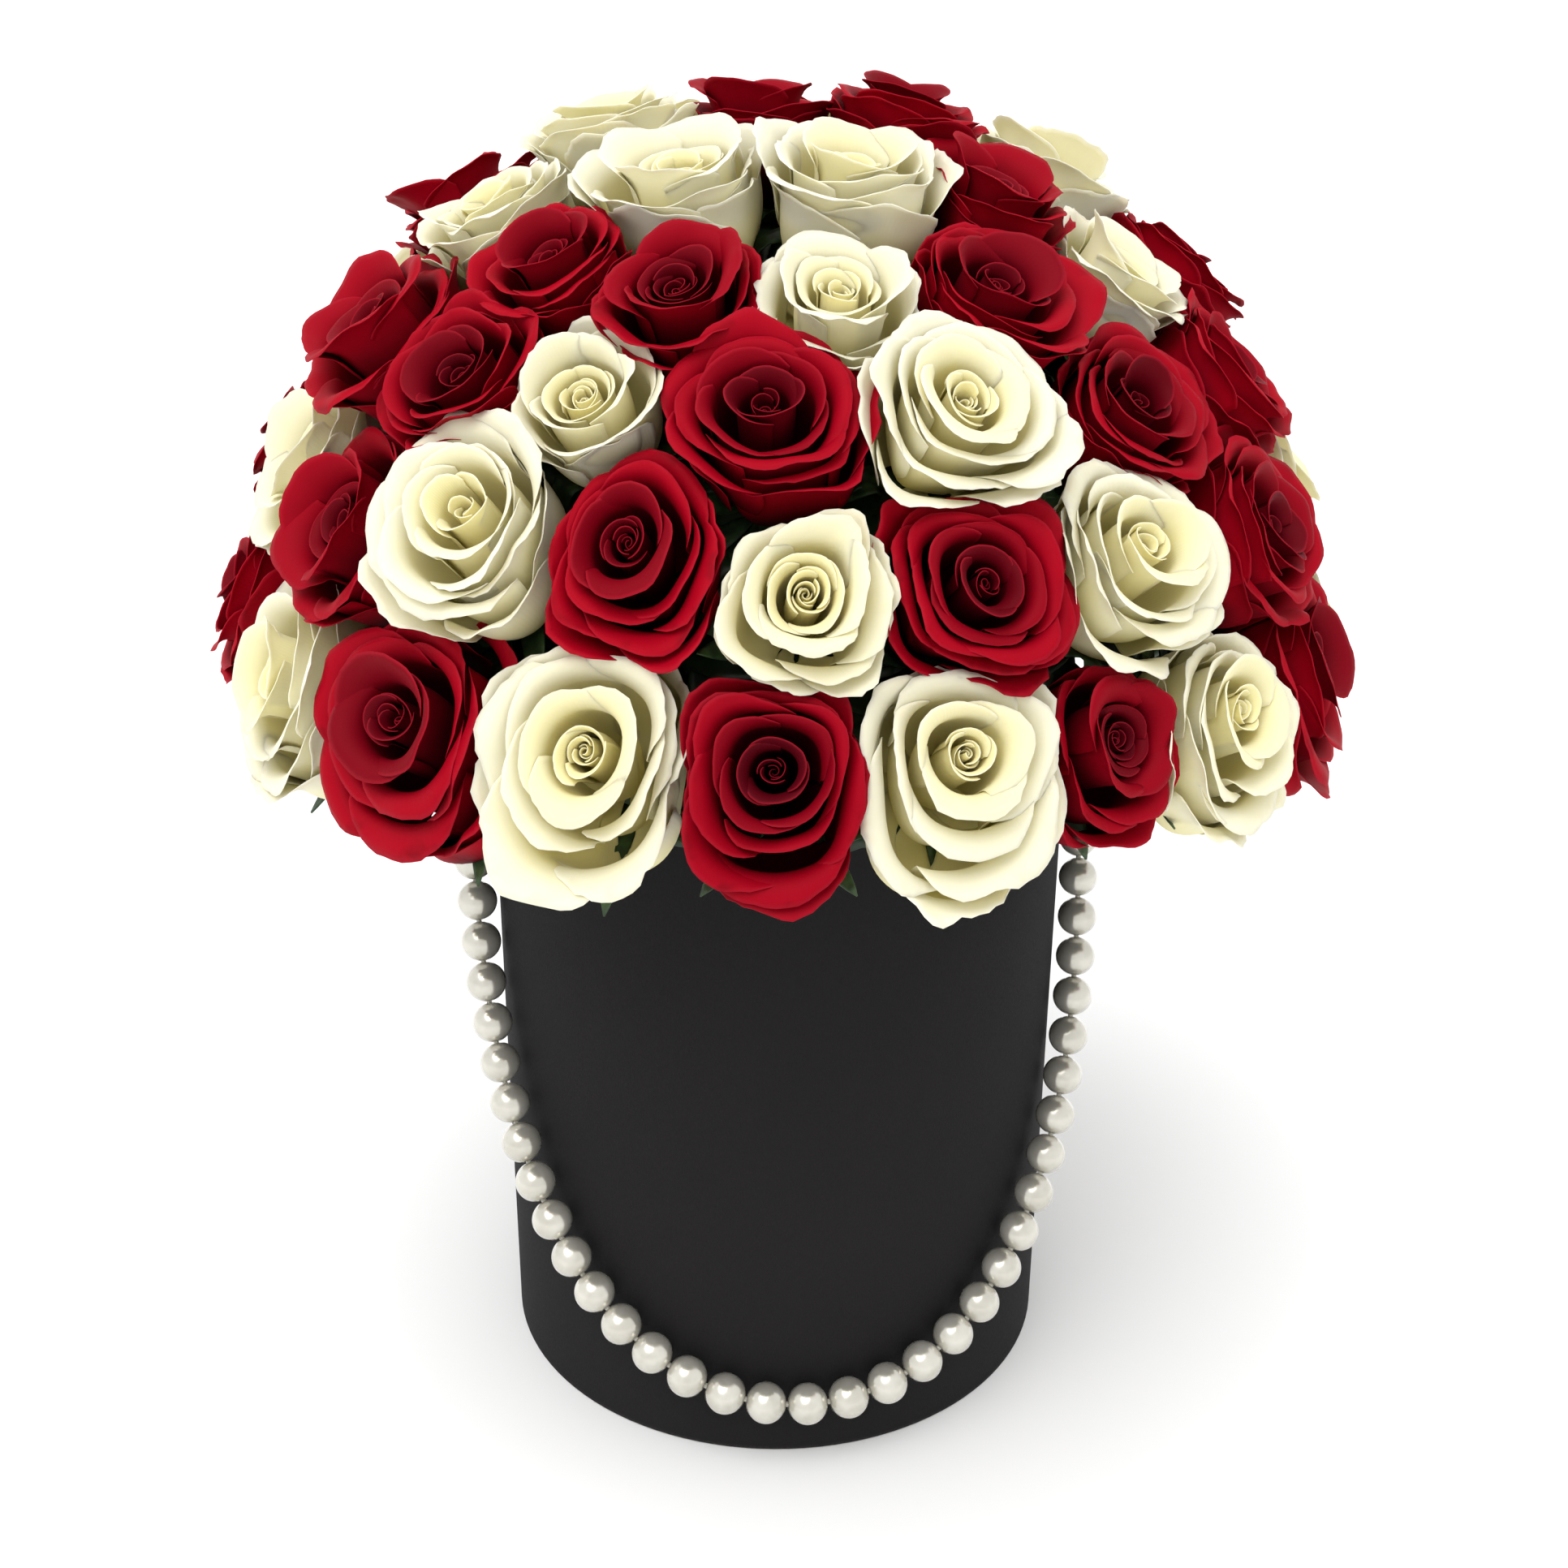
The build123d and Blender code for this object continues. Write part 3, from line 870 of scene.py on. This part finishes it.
# Where the leaves leave the stem's axis, inside the stem.
LEAF_ROOT = 0.8 * STEM_RADIUS
# How far under the calyx each of the two whorls is, and how much larger the inner one's leaves are.
LEAF_SETBACK = 0.006
INNER_LEAF_SETBACK = 0.024
INNER_LEAF_GROWTH = 1.25
# The lowest that a leaf may point, as a sine; leaves that hang lower are left out.
DROOPING = -0.25


def leaf_surface(rng):
    """The leaflets round one stem, spread out under the bloom, about +Z."""
    order = np.arange(LEAVES_PER_STEM).reshape(-1, 1, 1)
    t = np.linspace(0, 1, 13).reshape(1, -1, 1)
    u = np.linspace(-1, 1, 7).reshape(1, 1, -1)
    length = LEAF_LENGTH * rng.uniform(0.8, 1.1, (LEAVES_PER_STEM, 1, 1))
    start = np.radians(rng.uniform(55, 75, (LEAVES_PER_STEM, 1, 1)))
    curl = np.radians(rng.uniform(8, 40, (LEAVES_PER_STEM, 1, 1)))
    out = LEAF_ROOT + length / curl * (np.cos(start) - np.cos(start + curl * t))
    rise = length / curl * (np.sin(start + curl * t) - np.sin(start))
    saw = 1 + 0.07 * np.sin(t * 60) * smoothstep(0.12, 0.3, t) * (np.abs(u) > 0.9)
    width = LEAF_HALF_WIDTH * np.sin(math.pi * np.clip(t, 0, 1) ** 0.85) ** 0.75 * saw + 0.0005
    fold = 0.30 * width * np.abs(u) + 0.0008 * np.sin(t * 22) * u**2
    turn = 2 * math.pi / LEAVES_PER_STEM * order + rng.uniform(0, 2 * math.pi)
    side = u * width
    x = out * np.cos(turn) - side * np.sin(turn)
    y = out * np.sin(turn) + side * np.cos(turn)
    surface = np.stack(np.broadcast_arrays(x, y, rise + fold), axis=-1)
    return surface, np.broadcast_to(u, surface.shape[:3])


def make_leaves(name, setback, growth, heads, shader, rng):
    """One whorl of leaflets on every stem, this far under its calyx, as one piece."""
    parts, across = [], []
    for head in heads:
        surface, u = leaf_surface(rng)
        surface = surface * growth
        back = Matrix.Translation((0, 0, -CALYX_LENGTH - setback))
        place = np.array(head.frame() @ back, float)
        outward = (surface[:, -1, 3] - surface[:, 0, 3]) @ place[:3, :3].T
        steep = outward[:, 2] / np.linalg.norm(outward, axis=1)
        surface, u = surface[steep > DROOPING], u[steep > DROOPING]
        if not len(surface):
            continue
        surface = under_cups(placed(surface, place), heads)
        parts.append(thin_shell(surface, np.full(surface.shape[:3], LEAF_THICKNESS)))
        across.append(both_skins(u, surface))
    obj = mesh_object(name, *joined(parts))
    paint(obj, across=np.concatenate(across))
    dress(obj, shader)
    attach(obj, "bouquet")


# --- pearl strand ---------------------------------------------------------------------------
# Distance from the box's axis, and height.
KNOT_FACE = (0.0956, 0.215)
EXIT_BEND = (0.1055, 0.215)
# Each point of the hanging part: degrees from the front, distance from the axis, height.
HANGING_POINTS = [
    (88, 0.1084, 0.205),
    (84, 0.1085, 0.186),
    (76, 0.1088, 0.151),
    (66, 0.1090, 0.116),
    (54, 0.1090, 0.083),
    (40, 0.1092, 0.055),
    (25, 0.1092, 0.036),
    (9, 0.1092, 0.026),
]


def half_route(side):
    """One half of the strand's route, from its knot to the lowest point."""
    points = [Vector((side * x, 0, z)) for x, z in (KNOT_FACE, EXIT_BEND)]
    for degrees, distance, height in HANGING_POINTS:
        turn = math.radians(degrees)
        points.append(
            Vector((side * distance * math.sin(turn), -distance * math.cos(turn), height))
        )
    return points


def route_curve(name, points):
    """A smooth curve that starts and ends at the first and the last of these points."""
    curve = bpy.data.curves.new(name, "CURVE")
    curve.dimensions = "3D"
    curve.resolution_u = 12
    spline = curve.splines.new("NURBS")
    spline.points.add(len(points) - 1)
    for place, point in zip(spline.points, points):
        place.co = (*point, 1)
    spline.order_u = 3
    spline.use_endpoint_u = True
    obj = bpy.data.objects.new(name, curve)
    bpy.context.scene.collection.objects.link(obj)
    return obj


def points_along(curve_object):
    """The points of a curve with no bevel, as Blender works them out."""
    mesh = bpy.data.meshes.new_from_object(curve_object)
    line = np.array([vertex.co for vertex in mesh.vertices], float).reshape(-1, 3)
    bpy.data.meshes.remove(mesh)
    return line


PEARL_SEGMENTS = 36
# How far round the pearl, in radians, the edge of its bore is rounded off.
MOUTH_ROUNDING = 0.045
# A short step along the cord, which gives its direction.
ALONG_CORD = 0.001


def pearl_profile():
    """Half a bored pearl's outline, with the bore's mouths slightly rounded."""
    mouth = math.asin(PEARL_BORE / PEARL_RADIUS) + MOUTH_ROUNDING
    turns = np.linspace(mouth, math.pi - mouth, 25)
    outline = [(PEARL_RADIUS * math.sin(a), -PEARL_RADIUS * math.cos(a)) for a in turns]
    bore_end = PEARL_RADIUS * math.cos(mouth) - 0.0002
    return outline + [(PEARL_BORE, bore_end), (PEARL_BORE, -bore_end)]


def make_strand(pearls, cord):
    """The cord along its route, and the pearls at even distances along it."""
    route = half_route(-1) + half_route(1)[::-1]
    strand = route_curve("bead_cord", route)
    line = points_along(strand)
    strand.data.bevel_depth = CORD_DIAMETER / 2
    strand.data.bevel_resolution = 4
    strand.data.use_fill_caps = True
    along = np.concatenate([[0], np.cumsum(np.linalg.norm(np.diff(line, axis=0), axis=1))])
    outline, quads = lathe(pearl_profile(), PEARL_SEGMENTS)
    parts = []
    for distance in np.linspace(FIRST_PEARL, along[-1] - FIRST_PEARL, PEARL_COUNT):
        here = Vector([np.interp(distance, along, line[:, k]) for k in range(3)])
        ahead = Vector([np.interp(distance + ALONG_CORD, along, line[:, k]) for k in range(3)])
        turn = (ahead - here).to_track_quat("Z", "Y").to_matrix().to_4x4()
        parts.append((placed(outline, Matrix.Translation(here) @ turn), quads))
    beads = mesh_object("pearls", *joined(parts))
    dress(beads, pearls)
    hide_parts("pearl_beads")
    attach(beads, "pearl_strand")
    dress(strand, cord)
    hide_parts("pearl_cord")
    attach(strand, "pearl_strand")


# --- stage ----------------------------------------------------------------------------------
# The floor lies this far under the box, so that the two don't share a face.
SWEEP_DROP = 0.0005


def make_sweep():
    """A pale floor that turns up into a backdrop far behind."""
    half_width, front, back, bend, top = 8.0, -6.0, 5.0, 1.5, 7.0
    line = [(front, 0.0), (back - bend, 0.0)]
    for step in range(1, 13):
        turn = math.radians(90) * step / 12
        line.append((back - bend + bend * math.sin(turn), bend - bend * math.cos(turn)))
    line.append((back, top))
    points = [(x, y, z - SWEEP_DROP) for y, z in line for x in (-half_width, half_width)]
    quads = [(2 * i, 2 * i + 1, 2 * i + 3, 2 * i + 2) for i in range(len(line) - 1)]
    sweep = mesh_object("sweep", points, quads)
    shader = Shader("pale_sweep", roughness=0.9)
    shader.colour(shader.mix(shader.noise(3.0), (0.86, 0.86, 0.86), (0.88, 0.88, 0.88)))
    sweep.data.materials.append(shader.material)


SUN_DIRECTION = (-0.30, -0.38, 1.0)
SUN_STRENGTH = 1.28
SUN_SPREAD = math.radians(50)
KEY_PLACE = (-0.9, -1.5, 1.9)
KEY_AIM = (0, 0, 0.28)
KEY_SIZE = 1.4
KEY_POWER = 6
SKY_STRENGTH = 1.15


def make_light(name, place, aim, size, power):
    data = bpy.data.lights.new(name, "AREA")
    data.shape = "DISK"
    data.size = size
    data.energy = power
    obj = bpy.data.objects.new(name, data)
    obj.location = place
    obj.rotation_euler = (Vector(aim) - Vector(place)).to_track_quat("-Z", "Y").to_euler()
    bpy.context.scene.collection.objects.link(obj)


def make_sun(direction, strength, spread):
    data = bpy.data.lights.new("sun", "SUN")
    data.energy = strength
    data.angle = spread
    obj = bpy.data.objects.new("sun", data)
    obj.rotation_euler = Vector(direction).to_track_quat("Z", "Y").to_euler()
    bpy.context.scene.collection.objects.link(obj)


def make_world():
    world = bpy.data.worlds.new("soft_white")
    world.use_nodes = True
    background = world.node_tree.nodes["Background"]
    background.inputs["Color"].default_value = (1, 1, 1, 1)
    background.inputs["Strength"].default_value = SKY_STRENGTH
    bpy.context.scene.world = world


CAMERA_PLACE = Vector((-0.0669, -0.6361, 0.4767))
CAMERA_AIM = Vector((0.0020, 0, 0.2103))
CAMERA_ROLL = math.radians(0.42)
LENS = 44.72
SENSOR = 36


def make_camera():
    data = bpy.data.cameras.new("camera")
    data.lens = LENS
    data.sensor_width = SENSOR
    obj = bpy.data.objects.new("camera", data)
    turn = (CAMERA_AIM - CAMERA_PLACE).to_track_quat("-Z", "Y").to_matrix().to_4x4()
    obj.matrix_world = (
        Matrix.Translation(CAMERA_PLACE) @ turn @ Matrix.Rotation(CAMERA_ROLL, 4, "Z")
    )
    bpy.context.scene.collection.objects.link(obj)
    bpy.context.scene.camera = obj


# --- build ----------------------------------------------------------------------------------
# Each rose's seed is its number in the list of heads, and the green parts have their own.
CALYX_SEED = 500
LEAF_SEED = 501
INNER_LEAF_SEED = 502


def dress_frame():
    """Materials for the CAD nodes that stay as they are. Gives back the cord's."""
    paper, board, plastic, nickel = covering_paper(), grey_board(), black_plastic(), satin_nickel()
    green, foam, cord = stem(), wet_foam(), nylon_cord()
    for name, shader in (
        ("cover_paper", paper),
        ("box_wall", board),
        ("box_base", board),
        ("liner", plastic),
        ("eyelet_left", nickel),
        ("eyelet_right", nickel),
        ("rose_stems", green),
        ("foam", foam),
        ("cord_knot_left", cord),
        ("cord_knot_right", cord),
    ):
        dress(frame["nodes"][name], shader)
    return cord


make_camera()
make_world()
make_sweep()
make_sun(SUN_DIRECTION, SUN_STRENGTH, SUN_SPREAD)
make_light("key", KEY_PLACE, KEY_AIM, KEY_SIZE, KEY_POWER)
cord_shader = dress_frame()
make_strand(pearl_lacquer(), cord_shader)
petal_shaders = {"red": red_petal(), "white": white_petal()}
all_heads = find_heads()
for seed, rose_head in enumerate(all_heads, start=1):
    make_bloom(rose_head, all_heads, petal_shaders, np.random.default_rng(seed))
make_calyxes(all_heads, sepal_green(), np.random.default_rng(CALYX_SEED))
green = rose_leaf()
for leaves, setback, growth, seed in (
    ("rose_leaves", LEAF_SETBACK, 1.0, LEAF_SEED),
    ("inner_rose_leaves", INNER_LEAF_SETBACK, INNER_LEAF_GROWTH, INNER_LEAF_SEED),
):
    make_leaves(leaves, setback, growth, all_heads, green, np.random.default_rng(seed))

bpy.context.scene.view_settings.view_transform = "Standard"
